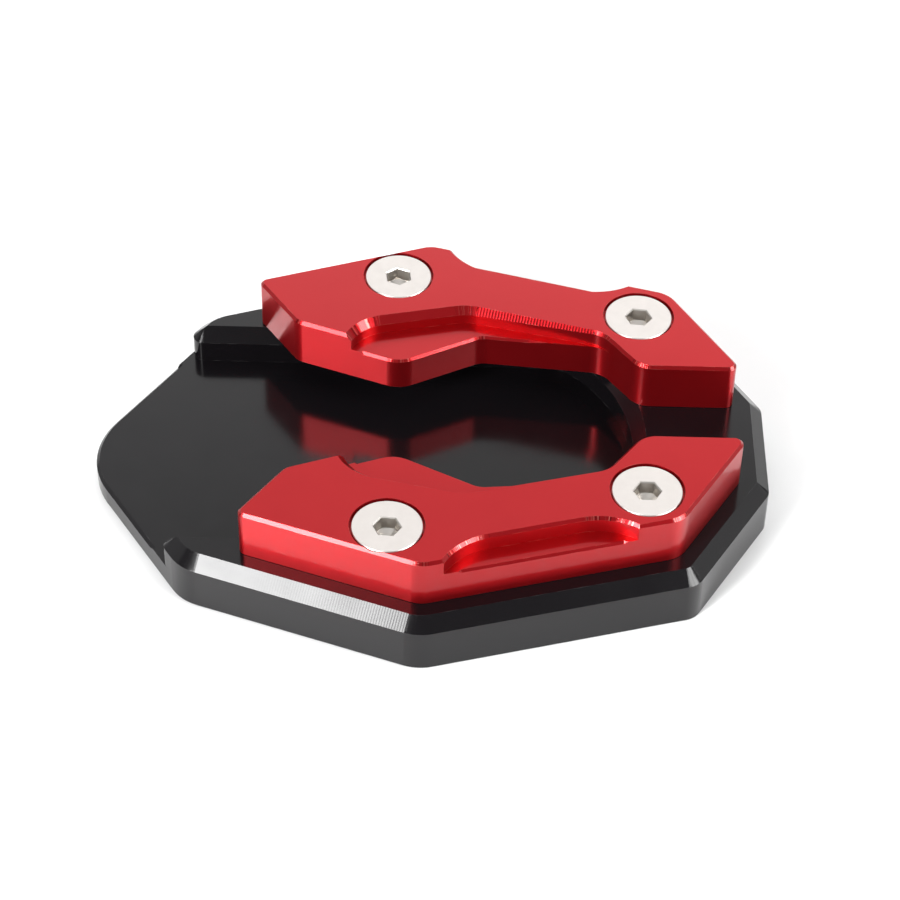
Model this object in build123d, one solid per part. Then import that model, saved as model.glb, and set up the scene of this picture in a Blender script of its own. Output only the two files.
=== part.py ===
from build123d import *

import os
from math import asin, atan2, cos, hypot, radians, sin, sqrt, tan

# Kickstand foot enlarger for a motorbike's side stand.
#
# A milled base plate has a pocket, open at the toe, that takes the flat foot of the stand. Two clamp
# plates lie on the land beside the pocket, reach over it and hold the foot down. Each is held by two
# countersunk screws that thread into the base plate.
#
# Millimetres. X runs from the rounded toe to the straight heel, Y across the plate, Z up. The origin is
# under the middle of the plate. All but the pocket is symmetric about the XZ plane, so the outlines are
# written for the rear half, where Y is positive, and mirrored.

# Base plate, outline from above. A setback is measured along X from the end that it names.
plate_length = 118.3
toe_radius = 16.0
shoulder_toe_setback = 17.5
shoulder_width = 63.5
shoulder_radius = 8.5
flank_toe_setback = 58.1
flank_width = 92.4
flank_radius = 8.0
haunch_heel_setback = 13.4
haunch_width = 66.2
haunch_radius = 4.0
heel_width = 21.6
heel_radius = 3.0

# Base plate, heights and edges
base_thickness = 10.6
floor_thickness = 4.1
land_chamfer = 2.3
toe_edge_chamfer = 0.55
underside_chamfer = 0.3

# Pocket for the stand's foot, its middle a little behind the plate's own
pocket_width = 49.9
pocket_offset = 0.45
pocket_heel_setback = 23.4
pocket_end_bulge = 12.4
pocket_corner_radius = 6.0
land_tip_radius = 2.0

# Clamp plates: the outer edges run parallel to the base plate's, the others are placed by their corners
clamp_thickness = 9.4
clamp_margin = 4.8
clamp_gap = 17.2
rake_angle = 124.4
cheek_x = -24.4
cheek_y = 18.6
nose_x = -5.8
nose_y = 11.6
waist_toe_x = 8.6
waist_toe_y = 19.1
waist_heel_x = 30.5
waist_heel_y = 17.0
step_heel_x = 36.6
clamp_toe_radius = 1.3
clamp_flank_radius = 5.0
clamp_haunch_radius = 5.0
clamp_heel_radius = 1.5
step_heel_radius = 4.5
waist_heel_radius = 5.0
waist_toe_radius = 4.0
nose_radius = 5.5
cheek_radius = 3.0
clamp_top_chamfer = 0.5
clamp_bottom_chamfer = 0.1

# Recesses in the clamp plates' upper faces
recess_depth = 3.1
ledge_chamfer = 0.4
edge_cutter_clearance = 1.3
toe_cutter_clearance = 2.0
outer_recess_setback = 12.8
outer_recess_run = 15.8
outer_recess_reach = 3.9
outer_recess_radius = 12.0
inner_recess_toe_x = -15.1
inner_recess_toe_y = 18.3
inner_recess_peak_x = 5.9
inner_recess_peak_y = 23.1
inner_recess_heel_angle = -13.5
inner_recess_radius = 8.0
inner_recess_heel_radius = 5.0
inner_recess_chamfer = 1.25

# Countersunk socket screws
thread_diameter = 6.0
screw_length = 16.0
head_diameter = 12.0
head_rim = 0.3
head_edge_break = 0.12
tip_chamfer = 0.8
socket_flats = 4.0
socket_depth = 2.4
socket_bevel = 0.2
toe_screw_x = -6.6
toe_screw_flank_inset = 14.1
heel_screw_x = 36.8
heel_screw_haunch_inset = 10.8
toe_rear_socket_turn = 37.0
heel_rear_socket_turn = 54.0
toe_front_socket_turn = 56.0
heel_front_socket_turn = 0.0

# Screw holes: each has a straight mouth over its countersink, and the head sits a little way down in it
head_sink = 0.2
mouth_diameter = 12.75
mouth_depth = 1.2

# Fits
clearance_hole_play = 0.3
thread_play = 0.05
seat_play = 0.02
drill_point_angle = 118.0

# Worked-out places
toe_end = -plate_length / 2
heel_end = plate_length / 2
clamp_top = base_thickness + clamp_thickness
ledge_height = clamp_thickness - recess_depth
chamfer_angle = 45.0
toe_screw_y = flank_width / 2 - toe_screw_flank_inset
heel_screw_y = haunch_width / 2 - heel_screw_haunch_inset
screw_places = {
    (toe_screw_x, toe_screw_y): toe_rear_socket_turn,
    (heel_screw_x, heel_screw_y): heel_rear_socket_turn,
    (toe_screw_x, -toe_screw_y): toe_front_socket_turn,
    (heel_screw_x, -heel_screw_y): heel_front_socket_turn,
}
plate_shoulder = Vector(toe_end + shoulder_toe_setback, shoulder_width / 2)
plate_flank = Vector(toe_end + flank_toe_setback, flank_width / 2)
plate_haunch = Vector(heel_end - haunch_heel_setback, haunch_width / 2)
plate_heel = Vector(heel_end, heel_width / 2)


def meet(start_a, end_a, start_b, end_b):
    """The point where the line through two points crosses the line through two others."""
    along_a = end_a - start_a
    along_b = end_b - start_b
    across = along_a.X * along_b.Y - along_a.Y * along_b.X
    between = start_b - start_a
    return start_a + along_a * ((between.X * along_b.Y - between.Y * along_b.X) / across)


def shifted(start, end, distance):
    """The two points moved to the left of the way from start to end."""
    along = (end - start).normalized()
    left = Vector(-along.Y, along.X) * distance
    return start + left, end + left


def rounded_face(corners):
    """A flat face from (corner, radius) pairs, given clockwise from above."""
    points = [corner for corner, _ in reversed(corners)]
    radii = [radius for _, radius in reversed(corners)]
    return make_face(FilletPolyline(*points, radius=radii, close=True))


def frustum(face, height, depth):
    """The face at a height, carried down by a depth and drawn in at the chamfer angle."""
    return extrude(Pos(0, 0, height) * face, depth, dir=(0, 0, -1), taper=chamfer_angle)


def crown(face, height, rise):
    """The face at a height, carried up by a rise and drawn in at the chamfer angle."""
    return extrude(Pos(0, 0, height) * face, rise, taper=chamfer_angle)


def prism(face, bottom, top):
    """The face carried straight up from one height to another."""
    return extrude(Pos(0, 0, bottom) * face, top - bottom)


def edge_waste(face, zone, height, size):
    """What a conical cutter takes off the upper edge of a prism of the face, running out round a zone."""
    return frustum(zone, height, size) - crown(face, height - size, size)


# Base plate


def toe_corner():
    """The corner that the toe arc rounds: the shoulders' tangents to that arc meet there on the X axis."""
    centre = Vector(toe_end + toe_radius, 0)
    to_centre = centre - plate_shoulder
    tangent_turn = asin(toe_radius / hypot(to_centre.X, to_centre.Y))
    heading = atan2(to_centre.Y, to_centre.X) - tangent_turn
    along = Vector(cos(heading), sin(heading))
    return plate_shoulder + along * (-plate_shoulder.Y / along.Y)


def plate_outline():
    """The base plate from above, with every corner rounded."""
    half = [
        (plate_shoulder, shoulder_radius),
        (plate_flank, flank_radius),
        (plate_haunch, haunch_radius),
        (plate_heel, heel_radius),
    ]
    other_half = [(Vector(corner.X, -corner.Y), radius) for corner, radius in reversed(half)]
    return rounded_face([(toe_corner(), toe_radius)] + half + other_half)


def pocket_face(spread):
    """The pocket from above, spread outwards: straight sides, open at the toe, and a bulged heel end."""
    side = pocket_width / 2
    end_radius = (side**2 + pocket_end_bulge**2) / (2 * pocket_end_bulge)
    end_x = heel_end - pocket_heel_setback
    mouth_x = toe_end - toe_radius
    wide = side + spread
    corner_x = end_x - end_radius + sqrt((end_radius + spread) ** 2 - wide**2)
    sides = Polyline((corner_x, wide), (mouth_x, wide), (mouth_x, -wide), (corner_x, -wide))
    bulge = ThreePointArc((corner_x, -wide), (end_x + spread, 0), (corner_x, wide))
    face = make_face([sides, bulge])
    corners = face.vertices().sort_by(Axis.X)[-2:]
    return Pos(0, pocket_offset) * fillet(corners, pocket_corner_radius + spread)


def land_tip_waste(wall_y):
    """What rounds off the sharp tip where a pocket wall cuts the shoulder: a kite less a pointed column."""
    toe = toe_corner()
    tip = meet(toe, plate_shoulder, Vector(toe_end, wall_y), Vector(heel_end, wall_y))
    up_the_side = (plate_shoulder - toe).normalized()
    half_angle = atan2(up_the_side.Y, up_the_side.X) / 2
    reach = land_tip_radius / tan(half_angle)
    centre = tip + Vector(reach, land_tip_radius)
    kite = make_face(Polyline(tip, tip + Vector(reach, 0), centre, tip + up_the_side * reach, close=True))
    chamfer_foot = base_thickness - land_chamfer
    column_profile = make_face(
        Polyline(
            (0, 0, floor_thickness),
            (land_tip_radius, 0, floor_thickness),
            (land_tip_radius, 0, chamfer_foot),
            (0, 0, chamfer_foot + land_tip_radius),
            close=True,
        )
    )
    column = Pos(centre) * revolve(column_profile, Axis.Z)
    return prism(kite, floor_thickness, base_thickness) - column


def tapped_hole():
    """A through hole for a screw's thread, at the origin."""
    return Cylinder(thread_diameter / 2, base_thickness, align=(Align.CENTER, Align.CENTER, Align.MIN))


def base_plate():
    """The floor and the chamfered land round the pocket, with the toe's edge broken and the tapped holes."""
    outline = plate_outline()
    chamfer_foot = base_thickness - land_chamfer
    body = frustum(outline, underside_chamfer, underside_chamfer)
    body += prism(outline, underside_chamfer, chamfer_foot)
    body += crown(outline, chamfer_foot, land_chamfer)
    body -= prism(pocket_face(0), floor_thickness, base_thickness)
    body -= frustum(pocket_face(land_chamfer), base_thickness, land_chamfer)
    body -= land_tip_waste(pocket_width / 2 + pocket_offset)
    body -= mirror(land_tip_waste(pocket_width / 2 - pocket_offset), Plane.XZ)
    toe_zone_width = pocket_width - 2 * edge_cutter_clearance
    toe_zone = Pos(toe_end, pocket_offset) * Rectangle(plate_length / 2, toe_zone_width)
    body -= edge_waste(outline, toe_zone, floor_thickness, toe_edge_chamfer)
    for x, y in screw_places:
        body -= Pos(x, y) * tapped_hole()
    return body


# Clamp plates, modelled with their underside at Z = 0


def clamp_outline():
    """The rear clamp plate's corners: the outer ones from the base plate's edges, then the inner ones."""
    toe_edge = shifted(plate_shoulder, plate_flank, -clamp_margin)
    flank_edge = shifted(plate_flank, plate_haunch, -clamp_margin)
    heel_edge = shifted(plate_haunch, plate_heel, -clamp_margin)
    cheek = Vector(cheek_x, cheek_y)
    rake = Vector(cos(radians(rake_angle)), sin(radians(rake_angle)))
    step_heel = Vector(step_heel_x, clamp_gap / 2)
    return [
        (meet(*toe_edge, cheek, cheek + rake), clamp_toe_radius),
        (meet(*toe_edge, *flank_edge), clamp_flank_radius),
        (meet(*flank_edge, *heel_edge), clamp_haunch_radius),
        (meet(*heel_edge, step_heel, step_heel + Vector(1, 0)), clamp_heel_radius),
        (step_heel, step_heel_radius),
        (Vector(waist_heel_x, waist_heel_y), waist_heel_radius),
        (Vector(waist_toe_x, waist_toe_y), waist_toe_radius),
        (Vector(nose_x, nose_y), nose_radius),
        (cheek, cheek_radius),
    ]


def outer_recess_face(spread, toe_trim=0):
    """The recess in the flank edge from above: a wide slot, spread outwards and cut short at the toe."""
    flank_start, flank_end = shifted(plate_flank, plate_haunch, -clamp_margin)
    toe_edge = shifted(plate_shoulder, plate_flank, -clamp_margin)
    corner = meet(*toe_edge, flank_start, flank_end)
    along = (flank_end - flank_start).normalized()
    outwards = Vector(-along.Y, along.X)
    middle = corner + along * (outer_recess_setback + (outer_recess_run + toe_trim) / 2)
    middle += outwards * (outer_recess_radius - outer_recess_reach)
    turn = Rot(0, 0, along.get_signed_angle(Vector(1, 0), Vector(0, 0, -1)))
    slot = SlotCenterToCenter(outer_recess_run - toe_trim, 2 * (outer_recess_radius + spread))
    return Pos(middle) * turn * slot


def inner_recess_face(toe_spread, heel_spread):
    """The recess over the nose from above, spread outwards by one amount at the toe and one at the heel.

    Its wall climbs from the toe to a peak, falls towards the heel and ends in the step's slanted edge.
    """
    low = Vector(inner_recess_toe_x, 0)
    toe = Vector(inner_recess_toe_x, inner_recess_toe_y)
    peak = Vector(inner_recess_peak_x, inner_recess_peak_y)
    falling = Vector(cos(radians(inner_recess_heel_angle)), sin(radians(inner_recess_heel_angle)))
    step_top = Vector(waist_heel_x, waist_heel_y)
    step_bottom = Vector(step_heel_x, clamp_gap / 2)
    base_line = (Vector(0, 0), Vector(1, 0))

    toe_wall = shifted(low, toe, toe_spread)
    rising_wall = shifted(toe, peak, toe_spread)
    peak_wall = shifted(peak, peak + falling, toe_spread)
    heel_wall = shifted(peak, peak + falling, heel_spread)
    step_wall = shifted(step_top, step_bottom, heel_spread)
    return rounded_face(
        [
            (meet(*toe_wall, *base_line), 0),
            (meet(*toe_wall, *rising_wall), inner_recess_radius + toe_spread),
            (meet(*rising_wall, *peak_wall), inner_recess_radius + toe_spread),
            (meet(*heel_wall, *step_wall), inner_recess_heel_radius + heel_spread),
            (meet(*step_wall, *base_line), 0),
        ]
    )


def screw_hole():
    """A clearance hole with a countersink and a straight mouth, at the origin, for a clamp plate.

    The countersink is a right-angled cone, so that its radius anywhere is the height above its tip.
    """
    radius = thread_diameter / 2 + clearance_hole_play
    mouth_radius = mouth_diameter / 2
    mouth_floor = clamp_thickness - mouth_depth
    cone_tip = clamp_thickness - head_sink - head_rim - head_diameter / 2 - seat_play
    hole_profile = make_face(
        Polyline(
            (0, 0, 0),
            (radius, 0, 0),
            (radius, 0, cone_tip + radius),
            (mouth_floor - cone_tip, 0, mouth_floor),
            (mouth_radius, 0, mouth_floor),
            (mouth_radius, 0, clamp_thickness),
            (0, 0, clamp_thickness),
            close=True,
        )
    )
    return revolve(hole_profile, Axis.Z)


def clamp_plate():
    """The rear clamp plate: a chamfered slab with a recess on either side and two screw holes."""
    outline = rounded_face(clamp_outline())
    body = frustum(outline, clamp_bottom_chamfer, clamp_bottom_chamfer)
    body += prism(outline, clamp_bottom_chamfer, clamp_thickness - clamp_top_chamfer)
    body += crown(outline, clamp_thickness - clamp_top_chamfer, clamp_top_chamfer)

    body -= prism(outer_recess_face(0), ledge_height, clamp_thickness)
    body -= frustum(outer_recess_face(clamp_top_chamfer), clamp_thickness, recess_depth)
    body -= prism(inner_recess_face(0, 0), ledge_height, clamp_thickness)
    mouth = inner_recess_face(inner_recess_chamfer, clamp_top_chamfer)
    body -= frustum(mouth, clamp_thickness, recess_depth)

    outer_zone = outer_recess_face(-edge_cutter_clearance, toe_cutter_clearance - edge_cutter_clearance)
    inner_zone = inner_recess_face(-toe_cutter_clearance, -edge_cutter_clearance)
    for zone in (outer_zone, inner_zone):
        body -= edge_waste(outline, zone, ledge_height, ledge_chamfer)

    for x, y in screw_places:
        if y > 0:
            body -= Pos(x, y) * screw_hole()
    return body


# Screws, modelled with the top of the head at Z = 0


def hexagon(flats):
    """A hexagon of a size across its flats, with a corner on the X axis."""
    sides = 6
    return RegularPolygon(flats / 2, sides, major_radius=False)


def hexagon_socket():
    """What the key's socket takes out of a head: a hexagon with a bevelled mouth and a drilled point."""
    socket = prism(hexagon(socket_flats), -socket_depth, 0)
    socket += frustum(hexagon(socket_flats + 2 * socket_bevel), 0, socket_bevel)
    point_height = socket_flats / 2 / tan(radians(drill_point_angle / 2))
    point = Cone(0, socket_flats / 2, point_height, align=(Align.CENTER, Align.CENTER, Align.MAX))
    return socket + Pos(0, 0, -socket_depth) * point


def countersunk_screw(socket_turn):
    """A countersunk screw with a hexagon socket, turned about its axis."""
    head_radius = head_diameter / 2
    shank_radius = thread_diameter / 2 - thread_play
    profile = make_face(
        Polyline(
            (0, 0, 0),
            (head_radius - head_edge_break, 0, 0),
            (head_radius, 0, -head_edge_break),
            (head_radius, 0, -head_rim),
            (shank_radius, 0, -head_rim - head_radius + shank_radius),
            (shank_radius, 0, -screw_length + tip_chamfer),
            (shank_radius - tip_chamfer, 0, -screw_length),
            (0, 0, -screw_length),
            close=True,
        )
    )
    return revolve(profile, Axis.Z) - Rot(0, 0, socket_turn) * hexagon_socket()


def clamp_screws():
    """The four screws, their heads sunk a little below the clamp plates' upper faces."""
    head_top = clamp_top - head_sink
    placed = [Pos(x, y, head_top) * countersunk_screw(turn) for (x, y), turn in screw_places.items()]
    return Compound(placed)


rear_clamp = Pos(0, 0, base_thickness) * clamp_plate()
nodes = {
    "base_plate": base_plate(),
    "rear_clamp_plate": rear_clamp,
    "front_clamp_plate": mirror(rear_clamp, Plane.XZ),
    "clamp_screws": clamp_screws(),
}

os.makedirs("parts", exist_ok=True)
for name, shape in nodes.items():
    export_step(shape, f"parts/{name}.step")
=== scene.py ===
"""Looks for a kickstand foot enlarger.

It has a black anodised base plate, two red anodised clamp plates and four bright screws, whose solids
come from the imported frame. Here they get their finishes, a white studio floor, soft panels of light and
the camera of the photograph. Lengths are in metres. Angles are in degrees, but a surface's heading is in
radians.
"""

import math

import bpy
import numpy as np
from mathutils import Matrix, Vector


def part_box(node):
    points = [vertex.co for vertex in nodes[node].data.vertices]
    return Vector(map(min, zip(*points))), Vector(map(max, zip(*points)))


MM = 0.001
MICRON = 0.001 * MM
WHITE = (1.0, 1.0, 1.0, 1.0)
UP = (0.0, 0.0, 1.0)

# Camera of the photograph: where it stands, how far it looks down, and how it is turned and rolled.
CAMERA_PLACE = Vector((3.284, -352.051, 341.843)) * MM
CAMERA_LOOK_DOWN = 43.571
CAMERA_HEADING = 0.038
CAMERA_ROLL = -1.388
IMAGE_WIDTH_PX = 900
FOCAL_LENGTH_PX = 2746.16
SENSOR_WIDTH_MM = 36.0

# Studio: a glossy white floor in a dim room.
FLOOR_SIDE = 8.0
FLOOR_WHITE = (0.90, 0.90, 0.90, 1.0)
FLOOR_CLOUD_SIZE = 0.05
FLOOR_ROUGHNESS = (0.20, 0.28)
ROOM_LIGHT = 0.15

# Panels of light, given by the way they lie from the object and by how bright they look from it, at their
# foot and at their top. The back panel's brightness changes within a narrow band about its middle.
PANEL_DISTANCE = 1.6
PANELS = {
    "overhead_panel": dict(heading=90, height=85, size=(1.9, 1.9), brightness=(0.92, 0.92)),
    "back_panel": dict(heading=90, height=41, size=(3.0, 1.15), brightness=(1.47, 0.67), band=0.18),
    "right_panel": dict(heading=14, height=14, size=(0.9, 0.6), brightness=(0.75, 0.75)),
    "back_right_panel": dict(heading=58, height=27, size=(0.55, 0.45), brightness=(3.0, 3.0)),
    "left_panel": dict(heading=168, height=16, size=(1.2, 0.8), brightness=(0.45, 0.45)),
    "left_softbox": dict(heading=-132.6, height=31.5, size=(0.31, 0.90), brightness=(86.0, 1.0)),
    "right_softbox": dict(heading=-25, height=31, size=(0.80, 0.66), brightness=(12.0, 12.0)),
}

# Bevels and walls are known by their rise, the height of the surface's normal. A bevel is straight where
# faces of at least this area have nearly its rise and share one heading, to the nearest step.
BEVEL_RISE = math.cos(math.radians(45))
BEVEL_RISE_SPREAD = 0.16
STRAIGHT_BEVEL_SPREAD = 0.016
STRAIGHT_BEVEL_AREA = 2.0 * MM**2
HEADING_STEP = math.radians(1.0)
WALL_RISE_SPREAD = 0.10

# Cutter lines across the base plate's straight bevels. The heights of marks are shares of the mark depth of
# their finish. Lines and chatter swell and fade, between these strengths.
BASE_LINE_PITCH = 0.468 * MM
BASE_LINE_HEIGHT = 1.0
LINES_PER_SWELL = 9
LINE_STRENGTH = (0.5, 1.0)

# Chatter on the longest bevel of each clamp plate's inner recess, found by its headings, which are whole
# degrees without their sign.
CHATTER_HEADINGS = range(103, 109)
CHATTER_PITCH = 0.55 * MM
CHATTER_HEIGHT = 1.7

# Streaks where a clamp plate's bevels go round a corner, their valleys painted paler as a highlight by this
# share of their depth.
STREAK_WIDTH = 1.2 * MM
STREAK_HEIGHT = 3.0
STREAK_PAINTED_HIGHLIGHT_SHARE = 0.6

# Faint upright lines on all walls, and the grain of the anodised skin.
WALL_MARK_WIDTH = 0.35 * MM
GRAIN_SIZE = 0.12 * MM

# Rubbed edges: the cosines of the normal's turn at which an edge begins and is full, and the patches of
# noise that rub it, with the levels at which a patch begins and is full. Dust lies in specks on both oxides.
EDGE_COSINES = (0.995, 0.93)
EDGE_SAMPLES = 4
EDGE_PATCH_SIZE = 2.5 * MM
EDGE_PATCH_LEVELS = (0.45, 0.75)
DUST = (0.55, 0.53, 0.52, 1.0)

# Black anodise of the base plate.
BLACK_ANODISE = (0.0044, 0.0038, 0.0046, 1.0)
BLACK_ANODISE_WORN = (0.060, 0.058, 0.057, 1.0)
BLACK_CLOUD_SIZE = 6.0 * MM
BLACK_ROUGHNESS = (0.10, 0.20)
BLACK_SKIN_IOR = 1.45
BLACK_MARK_DEPTH = 1.5 * MICRON
BLACK_GRAIN_HEIGHT = 0.15
BLACK_EDGE_WIDTH = 0.12 * MM
BLACK_DUST_SPACING = 9.0 * MM
BLACK_DUST_SIZE = 0.16 * MM

# Red anodise of the clamp plates. The crests of its bevels' marks get painted shade, a dark colour.
RED_ANODISE = (0.46, 0.0110, 0.0150, 1.0)
RED_ANODISE_DEEP = (0.43, 0.0090, 0.0130, 1.0)
# Worn colour of the rubbed edges, also used for the painted highlights in the corner streaks' valleys.
RED_ANODISE_WORN_AND_HIGHLIGHT = (0.80, 0.20, 0.17, 1.0)
RED_ANODISE_PAINTED_SHADE = (0.13, 0.0030, 0.0045, 1.0)
RED_CLOUD_SIZE = 7.0 * MM
RED_ROUGHNESS = (0.32, 0.35)
RED_METAL_SHARE = 0.87
RED_GLOSS_STRETCH = 0.68
RED_SKIN_WEIGHT = 0.55
RED_SKIN_ROUGHNESS = 0.08
RED_MARK_DEPTH = 3.0 * MICRON
RED_GRAIN_HEIGHT = 0.25
RED_EDGE_WIDTH = 0.10 * MM
RED_DUST_SPACING = 8.0 * MM
RED_DUST_SIZE = 0.14 * MM

# Up, leaning a little along X, so that level faces have a way too.
LEANING_UP = (0.02, 0.0, 1.0)

# Bright steel of the screws, with turned rings on the heads. The key sockets get painted shade, a darker
# colour, inside this radius and below this depth under the heads' tops.
BRIGHT_STEEL = (0.80, 0.755, 0.72, 1.0)
BRIGHT_STEEL_DULL = (0.69, 0.65, 0.62, 1.0)
SOCKET_PAINTED_SHADE = (0.58, 0.55, 0.515, 1.0)
STEEL_CLOUD_SIZE = 2.5 * MM
STEEL_ROUGHNESS = (0.30, 0.42)
STEEL_MARK_DEPTH = 1.2 * MICRON
HEAD_RING_PITCH = 0.11 * MM
HEAD_RING_HEIGHT = 0.4
UNEVEN_RING_WIDTH = 0.5 * MM
SOCKET_RADIUS = 2.6 * MM
SOCKET_BRIGHT_DEPTH = 0.05 * MM


def feed(tree, node, inputs):
    """Set a node's inputs to plain values, or link them to other nodes' outputs."""
    for name, value in inputs.items():
        if isinstance(value, bpy.types.NodeSocket):
            tree.links.new(value, node.inputs[name])
        else:
            node.inputs[name].default_value = value


def shader_node(tree, kind, inputs=None, **settings):
    """One shader node of that kind, with its settings and its inputs."""
    made = tree.nodes.new("ShaderNode" + kind)
    for name, value in settings.items():
        setattr(made, name, value)
    feed(tree, made, inputs or {})
    return made


def reckon(tree, operation, *values):
    """The result of one sum on numbers, each a plain value or a socket."""
    made = shader_node(tree, "Math", dict(enumerate(values)), operation=operation)
    return made.outputs["Value"]


def reckon_vector(tree, operation, *vectors):
    """The result of one sum on vectors: a number for a dot product or a distance, or else a vector."""
    made = shader_node(tree, "VectorMath", dict(enumerate(vectors)), operation=operation)
    return made.outputs["Value" if operation in ("DOT_PRODUCT", "DISTANCE") else "Vector"]


def spread_between(tree, value, low, high, start=0.0, end=1.0):
    """A value between start and end, moved to the same share of the way from low to high."""
    made = shader_node(
        tree,
        "MapRange",
        {"Value": value, "From Min": start, "From Max": end, "To Min": low, "To Max": high},
    )
    return made.outputs["Result"]


def noise(tree, place, feature_size, detail=2.0, dimensions="3D"):
    """Soft noise from 0 to 1, whose features are about that wide."""
    key = "W" if dimensions == "1D" else "Vector"
    inputs = {key: place, "Scale": 1 / feature_size, "Detail": detail}
    return shader_node(tree, "TexNoise", inputs, noise_dimensions=dimensions).outputs["Fac"]


def tint_between(tree, share, low, high):
    """The colour at that share of the way from low to high."""
    made = shader_node(tree, "Mix", {"Factor": share}, data_type="RGBA")
    colour_inputs = [index for index, socket in enumerate(made.inputs) if socket.type == "RGBA"]
    feed(tree, made, dict(zip(colour_inputs, (low, high))))
    return next(socket for socket in made.outputs if socket.type == "RGBA")


def new_finish(name):
    """A material with its shader and nothing else, and the object's own coordinates."""
    finish = bpy.data.materials.new(name)
    finish.use_nodes = True
    tree = finish.node_tree
    tree.nodes.clear()
    shader = shader_node(tree, "BsdfPrincipled")
    shader_node(tree, "OutputMaterial", {"Surface": shader.outputs["BSDF"]})
    place = shader_node(tree, "TexCoord")
    return finish, tree, shader, place


def mesh_values(items, name, width):
    """One property of all of a mesh's faces or points, as an array of rows of that many numbers."""
    values = np.empty(len(items) * width)
    items.foreach_get(name, values)
    return values.reshape(-1, width)


def face_bearings(tree, place):
    """The rise, heading and run of the surface, from its normal.

    The rise is the normal's height: 1 on tops, 0 on walls. The heading is the way a wall or bevel faces in
    plan. The run is the distance along its edge: the point's place along the level line that is square to
    the normal.
    """
    normal = place.outputs["Normal"]
    parts = shader_node(tree, "SeparateXYZ", {"Vector": normal}).outputs
    level = reckon_vector(tree, "NORMALIZE", reckon_vector(tree, "CROSS_PRODUCT", normal, UP))
    run = reckon_vector(tree, "DOT_PRODUCT", place.outputs["Object"], level)
    heading = reckon(tree, "ARCTAN2", parts["Y"], parts["X"])
    return parts["Z"], heading, run


def straight_bevels(plate, outward_only):
    """Headings, without sign, of a plate's straight bevels, or of those that face away from its middle.

    They are the headings that enough of the area of its mesh's sloped faces shares.
    """
    faces = plate.data.polygons
    normals = mesh_values(faces, "normal", 3)
    centres = mesh_values(faces, "center", 3)
    areas = mesh_values(faces, "area", 1)[:, 0]
    chosen = np.abs(normals[:, 2] - BEVEL_RISE) < STRAIGHT_BEVEL_SPREAD
    if outward_only:
        outwards = centres - centres.mean(axis=0)
        chosen &= (normals * outwards)[:, :2].sum(axis=1) > 0
    headings = np.abs(np.arctan2(normals[chosen, 1], normals[chosen, 0]))
    shared_area = np.bincount(np.rint(headings / HEADING_STEP).astype(int), weights=areas[chosen])
    return (np.flatnonzero(shared_area > STRAIGHT_BEVEL_AREA) * HEADING_STEP).tolist()


def faces_one_of(tree, heading, headings):
    """1 where the heading, without its sign, is one of those headings, and 0 elsewhere."""
    unsigned_heading = reckon(tree, "ABSOLUTE", heading)
    found = 0.0
    for wanted in headings:
        faces_it = reckon(tree, "COMPARE", unsigned_heading, wanted, HEADING_STEP)
        found = reckon(tree, "MAXIMUM", found, faces_it)
    return found


def bevel_lines(tree, heading, run, pitch, line_height, headings):
    """Lines across the bevels with those headings: a sine of the run, made uneven by slow noise."""
    lines = reckon(tree, "SINE", reckon(tree, "MULTIPLY", run, 2 * math.pi / pitch))
    swell = noise(tree, run, LINES_PER_SWELL * pitch, dimensions="1D")
    strength = spread_between(tree, swell, *LINE_STRENGTH)
    lines = reckon(tree, "MULTIPLY", lines, reckon(tree, "MULTIPLY", strength, line_height))
    return reckon(tree, "MULTIPLY", lines, faces_one_of(tree, heading, headings))


def corner_streaks(tree, heading, run, straight_headings):
    """Uneven streaks across the bevels where they go round a corner, and none on the straight ones."""
    round_corner = reckon(tree, "SUBTRACT", 1.0, faces_one_of(tree, heading, straight_headings))
    streaks = noise(tree, run, STREAK_WIDTH, dimensions="1D")
    streaks = spread_between(tree, streaks, -STREAK_HEIGHT, STREAK_HEIGHT)
    return reckon(tree, "MULTIPLY", streaks, round_corner)


def on_bevels(tree, rise, marks):
    """Those marks where the surface slopes as a bevel does, and 0 elsewhere."""
    return reckon(tree, "MULTIPLY", marks, reckon(tree, "COMPARE", rise, BEVEL_RISE, BEVEL_RISE_SPREAD))


def wall_lines(tree, rise, run):
    """Faint noise of the run where the surface is a wall, so that its lines stand upright."""
    marks = noise(tree, run, WALL_MARK_WIDTH, detail=3.0, dimensions="1D")
    return reckon(tree, "MULTIPLY", marks, reckon(tree, "COMPARE", rise, 0.0, WALL_RISE_SPREAD))


def raised(tree, height, depth):
    """The normal of a surface whose marks stand that deep."""
    made = shader_node(tree, "Bump", {"Height": height, "Distance": depth, "Strength": 1.0})
    return made.outputs["Normal"]


def rubbed_edge(tree, place, width):
    """A mask of the sharp edges, broken up by patches of noise.

    An edge is where the normal, rounded over that width, turns away from the flat one.
    """
    rounded = shader_node(tree, "Bevel", {"Radius": width}, samples=EDGE_SAMPLES)
    meeting = reckon_vector(tree, "DOT_PRODUCT", rounded.outputs["Normal"], place.outputs["Normal"])
    edge = spread_between(tree, meeting, 0.0, 1.0, *EDGE_COSINES)
    patches = noise(tree, place.outputs["Object"], EDGE_PATCH_SIZE, detail=4.0)
    return reckon(tree, "MULTIPLY", edge, spread_between(tree, patches, 0.0, 1.0, *EDGE_PATCH_LEVELS))


def dust_specks(tree, place, spacing, size):
    """A mask of sparse round specks: within half their size of a scattered lattice's points."""
    scattered = shader_node(tree, "TexVoronoi", {"Vector": place.outputs["Object"], "Scale": 1 / spacing})
    return reckon(tree, "LESS_THAN", scattered.outputs["Distance"], size / 2 / spacing)


def up_the_slope(tree, normal, rise):
    """The way up a wall or bevel, and along X on level faces: up, less its part along the normal."""
    part_along_normal = reckon_vector(tree, "MULTIPLY", normal, rise)
    return reckon_vector(
        tree, "NORMALIZE", reckon_vector(tree, "SUBTRACT", LEANING_UP, part_along_normal)
    )


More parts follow.
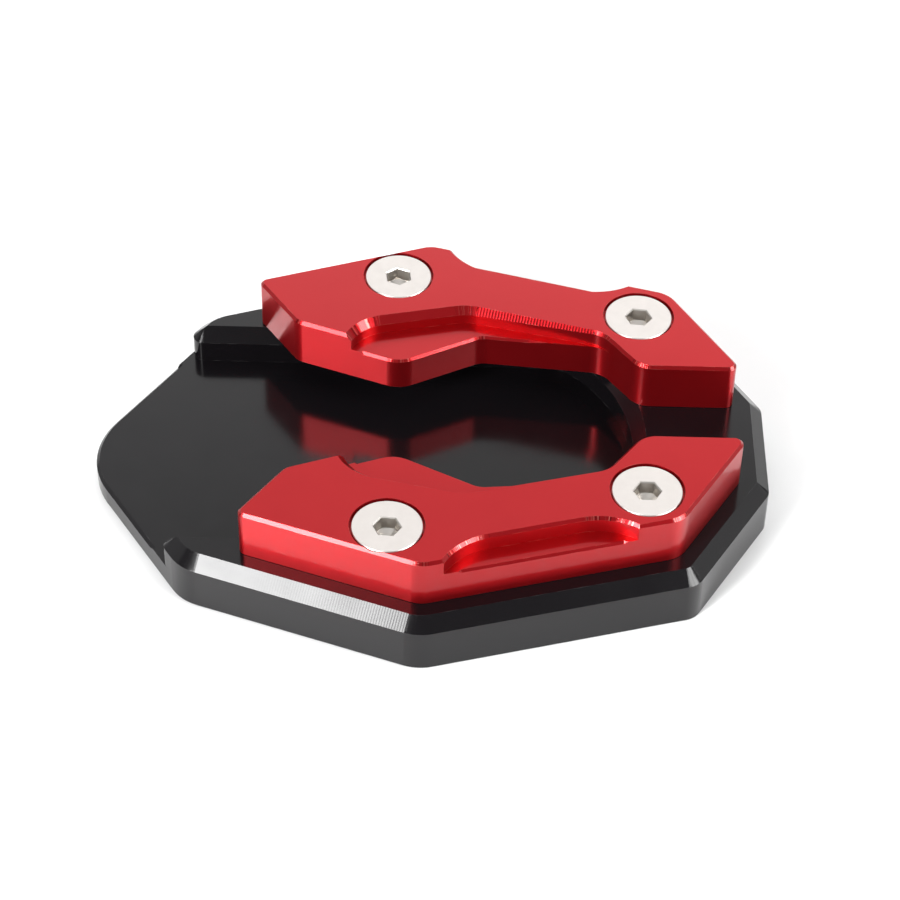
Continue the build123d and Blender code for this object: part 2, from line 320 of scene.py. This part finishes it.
def black_anodised(plate):
    """Near-black dyed oxide: a smooth clear skin over black, with lined bevels and greyer rubbed edges."""
    finish, tree, shader, place = new_finish("black_anodised_finish")
    rise, heading, run = face_bearings(tree, place)
    cloud = noise(tree, place.outputs["Object"], BLACK_CLOUD_SIZE, detail=4.0)
    grain = noise(tree, place.outputs["Object"], GRAIN_SIZE)

    edges = rubbed_edge(tree, place, BLACK_EDGE_WIDTH)
    colour = tint_between(tree, edges, BLACK_ANODISE, BLACK_ANODISE_WORN)
    specks = dust_specks(tree, place, BLACK_DUST_SPACING, BLACK_DUST_SIZE)
    colour = tint_between(tree, specks, colour, DUST)

    lined_headings = straight_bevels(plate, outward_only=True)
    lines = bevel_lines(tree, heading, run, BASE_LINE_PITCH, BASE_LINE_HEIGHT, lined_headings)
    marks = reckon(tree, "ADD", on_bevels(tree, rise, lines), wall_lines(tree, rise, run))
    height = reckon(tree, "MULTIPLY_ADD", grain, BLACK_GRAIN_HEIGHT, marks)

    surface = {
        "Base Color": colour,
        "Roughness": spread_between(tree, cloud, *BLACK_ROUGHNESS),
        "IOR": BLACK_SKIN_IOR,
        "Normal": raised(tree, height, BLACK_MARK_DEPTH),
    }
    feed(tree, shader, surface)
    return finish


def red_anodised(plate):
    """Red dyed oxide on aluminium: red metal under a clear skin, with cutter marks and paler rubbed edges.

    The cutter's side leaves fine level marks on the walls, so the metal's gloss is drawn out up and down.
    The crests of the bevels' marks get painted shade, and the valleys of their corner streaks painted
    highlights.
    """
    finish, tree, shader, place = new_finish("red_anodised_finish")
    rise, heading, run = face_bearings(tree, place)
    cloud = noise(tree, place.outputs["Object"], RED_CLOUD_SIZE, detail=4.0)
    grain = noise(tree, place.outputs["Object"], GRAIN_SIZE)

    chatter_headings = [math.radians(degrees) for degrees in CHATTER_HEADINGS]
    chatter = bevel_lines(tree, heading, run, CHATTER_PITCH, CHATTER_HEIGHT, chatter_headings)
    streaks = corner_streaks(tree, heading, run, straight_bevels(plate, outward_only=False))
    streaks = on_bevels(tree, rise, streaks)
    bevel_marks = reckon(tree, "ADD", on_bevels(tree, rise, chatter), streaks)
    marks = reckon(tree, "ADD", bevel_marks, wall_lines(tree, rise, run))
    height = reckon(tree, "MULTIPLY_ADD", grain, RED_GRAIN_HEIGHT, marks)
    normal = raised(tree, height, RED_MARK_DEPTH)

    colour = tint_between(tree, cloud, RED_ANODISE_DEEP, RED_ANODISE)
    # Painted shade: the crests of the bevels' chatter and corner streaks are darkened.
    colour = tint_between(tree, bevel_marks, colour, RED_ANODISE_PAINTED_SHADE)
    # Painted highlight: the valleys of the corner streaks are made paler.
    painted_streak_highlights = reckon(tree, "MULTIPLY", streaks, -STREAK_PAINTED_HIGHLIGHT_SHARE)
    colour = tint_between(tree, painted_streak_highlights, colour, RED_ANODISE_WORN_AND_HIGHLIGHT)
    edges = rubbed_edge(tree, place, RED_EDGE_WIDTH)
    colour = tint_between(tree, edges, colour, RED_ANODISE_WORN_AND_HIGHLIGHT)
    specks = dust_specks(tree, place, RED_DUST_SPACING, RED_DUST_SIZE)
    colour = tint_between(tree, specks, colour, DUST)

    surface = {
        "Base Color": colour,
        "Metallic": RED_METAL_SHARE,
        "Roughness": spread_between(tree, cloud, *RED_ROUGHNESS),
        "Anisotropic": RED_GLOSS_STRETCH,
        "Tangent": up_the_slope(tree, place.outputs["Normal"], rise),
        "Specular IOR Level": 0.0,
        "Normal": normal,
        "Coat Weight": RED_SKIN_WEIGHT,
        "Coat Roughness": RED_SKIN_ROUGHNESS,
        "Coat Normal": normal,
    }
    feed(tree, shader, surface)
    return finish


def screw_axes(screws):
    """Plan places of the toe and the heel screw on the far side.

    An axis lies a head's radius inside the farthest points of its half of the screws' own mesh.
    """
    points = mesh_values(screws.data.vertices, "co", 3)
    at_toe = points[:, 0] < points[:, 0].mean()
    halves = (points[at_toe], points[~at_toe])
    head_radius = np.ptp(halves[0][:, 0]) / 2
    return [half[:, :2].max(axis=0) - head_radius for half in halves]


def bright_screw(axes, head_top):
    """Bright steel with turned rings about each screw's axis, and painted shade in the hexagon sockets."""
    finish, tree, shader, place = new_finish("bright_screw_finish")
    parts = shader_node(tree, "SeparateXYZ", {"Vector": place.outputs["Object"]}).outputs
    far_side = shader_node(
        tree, "CombineXYZ", {"X": parts["X"], "Y": reckon(tree, "ABSOLUTE", parts["Y"])}
    ).outputs["Vector"]
    radii = [reckon_vector(tree, "DISTANCE", far_side, (x, y, 0.0)) for x, y in axes]
    radius = reckon(tree, "MINIMUM", *radii)

    rings = reckon(tree, "SINE", reckon(tree, "MULTIPLY", radius, 2 * math.pi / HEAD_RING_PITCH))
    uneven = noise(tree, radius, UNEVEN_RING_WIDTH, detail=4.0, dimensions="1D")
    height = reckon(tree, "MULTIPLY_ADD", rings, HEAD_RING_HEIGHT, uneven)

    cloud = noise(tree, place.outputs["Object"], STEEL_CLOUD_SIZE, detail=5.0)
    colour = tint_between(tree, cloud, BRIGHT_STEEL, BRIGHT_STEEL_DULL)
    # Painted shade: the key sockets are coloured darker below the heads' tops.
    below_top = reckon(tree, "LESS_THAN", parts["Z"], head_top - SOCKET_BRIGHT_DEPTH)
    socket_shade = reckon(tree, "MULTIPLY", below_top, reckon(tree, "LESS_THAN", radius, SOCKET_RADIUS))
    colour = tint_between(tree, socket_shade, colour, SOCKET_PAINTED_SHADE)

    surface = {
        "Base Color": colour,
        "Metallic": 1.0,
        "Roughness": spread_between(tree, cloud, *STEEL_ROUGHNESS),
        "Normal": raised(tree, height, STEEL_MARK_DEPTH),
    }
    feed(tree, shader, surface)
    return finish


def white_floor():
    """A level square of white card under the object: corners at plus and minus half its side."""
    half = FLOOR_SIDE / 2
    u, v = np.meshgrid((-half, half), (-half, half))
    corners = np.stack([u.ravel(), v.ravel(), np.zeros(4)], axis=1)
    mesh = bpy.data.meshes.new("white_floor")
    mesh.from_pydata(corners.tolist(), [], [(0, 1, 3, 2)])
    finish, tree, shader, place = new_finish("white_card")
    cloud = noise(tree, place.outputs["Object"], FLOOR_CLOUD_SIZE)
    roughness = spread_between(tree, cloud, *FLOOR_ROUGHNESS)
    feed(tree, shader, {"Base Color": FLOOR_WHITE, "Roughness": roughness})
    mesh.materials.append(finish)
    floor = bpy.data.objects.new("white_floor", mesh)
    bpy.context.scene.collection.objects.link(floor)


def light_panel(name, heading, height, size, brightness, band=1.0):
    """A flat panel of light that faces the object.

    Its brightness goes from its foot's to its top's over a band of its height, about the middle. A panel of
    brightness 1 has a power of pi times its area, and the brightness at a height multiplies that.
    """
    light = bpy.data.lights.new(name, "AREA")
    light.shape = "RECTANGLE"
    light.size, light.size_y = size
    light.energy = math.pi * math.prod(size)
    light.use_nodes = True
    tree = light.node_tree
    spot = shader_node(tree, "NewGeometry")
    climb_share = shader_node(tree, "SeparateXYZ", {"Vector": spot.outputs["Parametric"]}).outputs["Y"]
    foot, top = brightness
    graded = spread_between(tree, climb_share, foot, top, (1 - band) / 2, (1 + band) / 2)
    feed(tree, tree.nodes["Emission"], {"Strength": graded})
    turn, climb = math.radians(heading), math.radians(height)
    way = Vector((math.cos(turn) * math.cos(climb), math.sin(turn) * math.cos(climb), math.sin(climb)))
    panel = bpy.data.objects.new(name, light)
    panel.location = way * PANEL_DISTANCE
    panel.rotation_euler = way.to_track_quat("Z", "Y").to_euler()
    bpy.context.scene.collection.objects.link(panel)


def dim_room():
    """An even dim light from the rest of the room."""
    room = bpy.data.worlds.new("dim_room")
    room.use_nodes = True
    feed(room.node_tree, room.node_tree.nodes["Background"], {"Color": WHITE, "Strength": ROOM_LIGHT})
    bpy.context.scene.world = room


def photo_camera():
    """The photograph's camera, from its place, heading, downward tilt and roll."""
    tilt = math.radians(CAMERA_LOOK_DOWN)
    heading = math.radians(CAMERA_HEADING)
    level = math.cos(tilt)
    ahead = Vector((math.sin(heading) * level, math.cos(heading) * level, -math.sin(tilt)))
    unrolled_right = Vector((math.cos(heading), -math.sin(heading), 0.0))
    right = Matrix.Rotation(math.radians(CAMERA_ROLL), 3, ahead) @ unrolled_right
    up = right.cross(ahead)
    turn = Matrix((right, up, -ahead)).transposed().to_4x4()
    data = bpy.data.cameras.new("photo_camera")
    data.sensor_width = SENSOR_WIDTH_MM
    data.lens = FOCAL_LENGTH_PX * SENSOR_WIDTH_MM / IMAGE_WIDTH_PX
    camera = bpy.data.objects.new("photo_camera", data)
    camera.matrix_world = Matrix.Translation(CAMERA_PLACE) @ turn
    bpy.context.scene.collection.objects.link(camera)
    bpy.context.scene.camera = camera


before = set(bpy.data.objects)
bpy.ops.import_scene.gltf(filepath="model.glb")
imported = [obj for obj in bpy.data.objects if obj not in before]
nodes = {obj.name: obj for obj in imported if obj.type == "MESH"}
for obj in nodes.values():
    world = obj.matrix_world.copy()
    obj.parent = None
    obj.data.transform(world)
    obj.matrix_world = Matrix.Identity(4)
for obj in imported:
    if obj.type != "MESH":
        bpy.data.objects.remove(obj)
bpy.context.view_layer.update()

screw_head_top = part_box("clamp_screws")[1][2]
finishes = {
    "base_plate": black_anodised(nodes["base_plate"]),
    "clamp_screws": bright_screw(screw_axes(nodes["clamp_screws"]), screw_head_top),
    "rear_clamp_plate": red_anodised(nodes["rear_clamp_plate"]),
}
finishes["front_clamp_plate"] = finishes["rear_clamp_plate"]
for node_name, finish in finishes.items():
    nodes[node_name].material_slots[0].material = finish

white_floor()
dim_room()
for panel_name, panel in PANELS.items():
    light_panel(panel_name, **panel)
photo_camera()
bpy.context.scene.view_settings.view_transform = "Standard"
